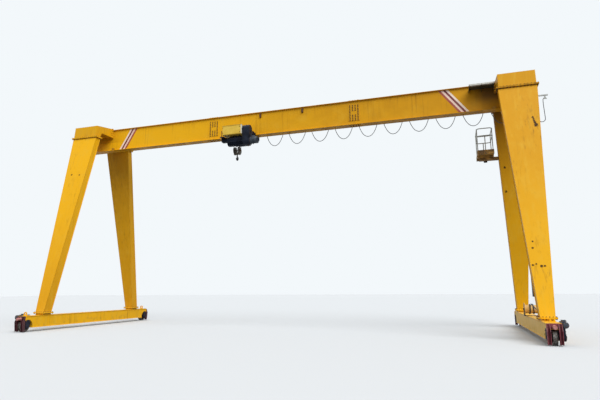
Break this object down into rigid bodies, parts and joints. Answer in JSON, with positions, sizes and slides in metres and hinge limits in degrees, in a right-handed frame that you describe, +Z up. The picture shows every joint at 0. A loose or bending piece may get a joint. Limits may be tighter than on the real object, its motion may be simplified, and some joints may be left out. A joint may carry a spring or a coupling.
{
  "type": "gantry crane",
  "caption": "Single-girder rail-mounted gantry crane on tapered box legs, with an underhung rope hoist, festoon cable and service cage.",
  "frame": {"origin": "mid-span between the two rails, on the floor that the wheel flanges stand on", "axes": "+X along the girder towards the cable reel side, +Y away from the hoist side, +Z up"},
  "size_m": [18.218, 7.26, 8.25],
  "materials": {
    "crane_paint": "weathered satin yellow enamel",
    "dark_paint": "dark blue-grey enamel, oily and dusty",
    "motor_paint": "grey enamel on cast fins",
    "worn_steel": "rolled bright on the treads, dark elsewhere",
    "guard_paint": "faded maroon enamel",
    "buffer_rubber": "faded red polyurethane",
    "tube_zinc": "dull galvanised",
    "platform_plate": "rusty brown chequer plate",
    "cable_sheath": "matt black sheath",
    "carrier_steel": "dark pressed steel",
    "box_paint": "clean light yellow powder coat",
    "rope_wire": "greased wire",
    "block_paint": "worn pale grey",
    "hook_steel": "black forged steel"
  },
  "bodies": {
    "crane": {"girder_left": "crane_paint", "girder_middle": "crane_paint", "girder_right": "crane_paint", "splice_plates": "crane_paint", "saddle_left": "crane_paint", "saddle_right": "crane_paint", "leg_left_near": "crane_paint", "leg_left_far": "crane_paint", "leg_right_near": "crane_paint", "leg_right_far": "crane_paint", "sill_left": "crane_paint", "sill_right": "crane_paint", "lifting_lugs": "crane_paint", "axle_boxes": "dark_paint", "drive_gearboxes": "dark_paint", "drive_motors": "motor_paint", "rail_guards": "guard_paint", "buffers": "buffer_rubber", "service_cage_floor": "crane_paint", "service_cage_rail": "tube_zinc", "cage_bracket": "crane_paint", "floodlight": "dark_paint", "end_platform": "platform_plate", "reel_stand": "platform_plate", "control_cabinet": "dark_paint", "riser_cable": "cable_sheath", "festoon_rail": "tube_zinc", "festoon_cable": "cable_sheath", "trolley_stops": "dark_paint"},
    "trolley": {"trolley_frame": "dark_paint", "trolley_wheels": "worn_steel", "hoist_drum": "dark_paint", "hoist_gearbox": "dark_paint", "hoist_motor": "motor_paint", "control_box": "box_paint", "counterweight": "dark_paint", "hoist_rope": "rope_wire"},
    "hook_block": {"hook_block": "block_paint"},
    "hook_sheaves": {"hook_sheaves": "worn_steel"},
    "hook": {"hook": "hook_steel"},
    "cable_reel": {"cable_reel": "crane_paint"},
    "wheel_left_near": {"wheel_left_near": "worn_steel"},
    "wheel_left_far": {"wheel_left_far": "worn_steel"},
    "wheel_right_near": {"wheel_right_near": "worn_steel"},
    "wheel_right_far": {"wheel_right_far": "worn_steel"},
    "carrier_1": {"carrier_1": "carrier_steel"},
    "carrier_2": {"carrier_2": "carrier_steel"},
    "carrier_3": {"carrier_3": "carrier_steel"},
    "carrier_4": {"carrier_4": "carrier_steel"},
    "carrier_5": {"carrier_5": "carrier_steel"},
    "carrier_6": {"carrier_6": "carrier_steel"},
    "carrier_7": {"carrier_7": "carrier_steel"},
    "carrier_8": {"carrier_8": "carrier_steel"},
    "carrier_9": {"carrier_9": "carrier_steel"},
    "carrier_10": {"carrier_10": "carrier_steel"}
  },
  "joints": [
    {"name": "trolley_travel", "type": "slide", "parent": "crane", "child": "trolley", "axis": [1, 0, 0], "range_m": [-5.6, 8.2], "deforming": ["festoon_cable"]},
    {"name": "hook_lift", "type": "slide", "parent": "trolley", "child": "hook_block", "axis": [0, 0, 1], "range_m": [-6, 0.04], "deforming": ["hoist_rope"]},
    {"name": "sheave_spin", "type": "hinge", "parent": "hook_block", "child": "hook_sheaves", "pos_m": [-1.86, 0, 6.775], "axis": [1, 0, 0], "continuous": true},
    {"name": "hook_swivel", "type": "hinge", "parent": "hook_block", "child": "hook", "pos_m": [-1.86, 0, 6.65], "axis": [0, 0, 1], "continuous": true},
    {"name": "reel_spin", "type": "hinge", "parent": "crane", "child": "cable_reel", "pos_m": [8.21, -0.1, 0.745], "axis": [1, 0, 0], "continuous": true},
    {"name": "wheel_left_near_roll", "type": "hinge", "parent": "crane", "child": "wheel_left_near", "pos_m": [-8.25, -3.33, 0.2], "axis": [1, 0, 0], "continuous": true},
    {"name": "wheel_left_far_roll", "type": "hinge", "parent": "crane", "child": "wheel_left_far", "pos_m": [-8.25, 3.33, 0.2], "axis": [1, 0, 0], "continuous": true},
    {"name": "wheel_right_near_roll", "type": "hinge", "parent": "crane", "child": "wheel_right_near", "pos_m": [8.25, -3.33, 0.2], "axis": [1, 0, 0], "continuous": true},
    {"name": "wheel_right_far_roll", "type": "hinge", "parent": "crane", "child": "wheel_right_far", "pos_m": [8.25, 3.33, 0.2], "axis": [1, 0, 0], "continuous": true},
    {"name": "carrier_1_roll", "type": "slide", "parent": "crane", "child": "carrier_1", "axis": [1, 0, 0], "range_m": [-5.082, 7.437]},
    {"name": "carrier_2_roll", "type": "slide", "parent": "crane", "child": "carrier_2", "axis": [1, 0, 0], "range_m": [-4.555, 6.665]},
    {"name": "carrier_3_roll", "type": "slide", "parent": "crane", "child": "carrier_3", "axis": [1, 0, 0], "range_m": [-4.027, 5.892]},
    {"name": "carrier_4_roll", "type": "slide", "parent": "crane", "child": "carrier_4", "axis": [1, 0, 0], "range_m": [-3.499, 5.119]},
    {"name": "carrier_5_roll", "type": "slide", "parent": "crane", "child": "carrier_5", "axis": [1, 0, 0], "range_m": [-2.972, 4.347]},
    {"name": "carrier_6_roll", "type": "slide", "parent": "crane", "child": "carrier_6", "axis": [1, 0, 0], "range_m": [-2.444, 3.574]},
    {"name": "carrier_7_roll", "type": "slide", "parent": "crane", "child": "carrier_7", "axis": [1, 0, 0], "range_m": [-1.916, 2.802]},
    {"name": "carrier_8_roll", "type": "slide", "parent": "crane", "child": "carrier_8", "axis": [1, 0, 0], "range_m": [-1.389, 2.029]},
    {"name": "carrier_9_roll", "type": "slide", "parent": "crane", "child": "carrier_9", "axis": [1, 0, 0], "range_m": [-0.861, 1.256]},
    {"name": "carrier_10_roll", "type": "slide", "parent": "crane", "child": "carrier_10", "axis": [1, 0, 0], "range_m": [-0.333, 0.484]}
  ],
  "couplings": [
    {"joint": "sheave_spin", "follows": "hook_lift", "rad_per_m": 6.9109},
    {"joint": "carrier_1_roll", "follows": "trolley_travel", "ratio": 0.90578},
    {"joint": "carrier_2_roll", "follows": "trolley_travel", "ratio": 0.81155},
    {"joint": "carrier_3_roll", "follows": "trolley_travel", "ratio": 0.71733},
    {"joint": "carrier_4_roll", "follows": "trolley_travel", "ratio": 0.6231},
    {"joint": "carrier_5_roll", "follows": "trolley_travel", "ratio": 0.52888},
    {"joint": "carrier_6_roll", "follows": "trolley_travel", "ratio": 0.43466},
    {"joint": "carrier_7_roll", "follows": "trolley_travel", "ratio": 0.34043},
    {"joint": "carrier_8_roll", "follows": "trolley_travel", "ratio": 0.24621},
    {"joint": "carrier_9_roll", "follows": "trolley_travel", "ratio": 0.15198},
    {"joint": "carrier_10_roll", "follows": "trolley_travel", "ratio": 0.057761}
  ]
}
